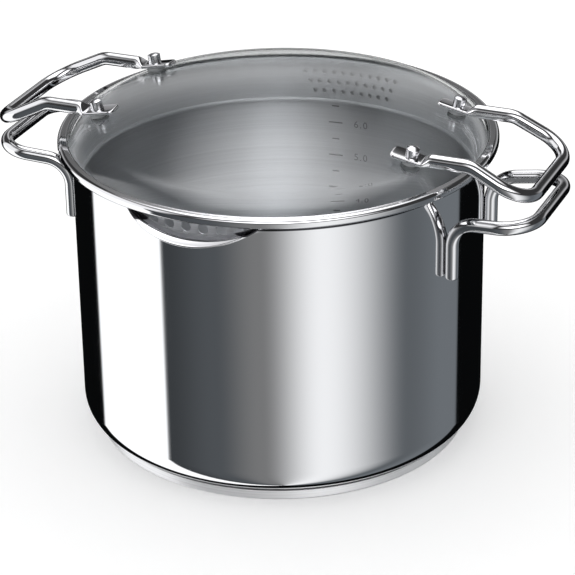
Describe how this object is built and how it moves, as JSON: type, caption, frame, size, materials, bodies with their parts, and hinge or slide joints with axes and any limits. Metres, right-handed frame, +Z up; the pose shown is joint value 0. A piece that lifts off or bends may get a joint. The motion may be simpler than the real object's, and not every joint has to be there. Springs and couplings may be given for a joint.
{
  "type": "straining pot with glass lid",
  "caption": "Tall steel cooking pot with a pouring spout, side handles and a glass lid whose perforated ring strains the water as it is poured.",
  "frame": {"origin": "centre of the base's underside, on the pot's axis", "axes": "+Z up along the pot's axis, X through the two handles, the spout at -Y and the fine holes of the ring at +Y"},
  "size_m": [0.3424, 0.2657, 0.2064],
  "materials": {
    "pot_steel": "mirror-polished stainless steel outside, satin inside",
    "base_aluminium": "plain, enclosed",
    "cap_steel": "satin stainless steel",
    "handle_steel": "polished stainless steel rod",
    "ring_steel": "satin stainless steel",
    "band_steel": "polished stainless steel",
    "lid_glass": "clear tempered glass",
    "silicone": "matte grey silicone",
    "fastener_steel": "plain stainless steel",
    "nut_steel": "polished sides, satin top"
  },
  "bodies": {
    "pot": {"pot_shell": "pot_steel", "base_core": "base_aluminium", "base_cap": "cap_steel", "pot_handle_left": "handle_steel", "pot_handle_right": "handle_steel"},
    "lid": {"strainer_ring": "ring_steel", "lid_band": "band_steel", "lid_glass": "lid_glass", "lid_handle_left": "handle_steel", "lid_handle_right": "handle_steel", "glass_spacers": "silicone", "glass_washers": "silicone", "bolt_washers": "fastener_steel", "lid_bolts": "fastener_steel", "cap_nuts": "nut_steel"}
  },
  "joints": [
    {"name": "lid_lift", "type": "slide", "parent": "pot", "child": "lid", "axis": [0, 0, 1], "range_m": [0, 0.08]}
  ]
}
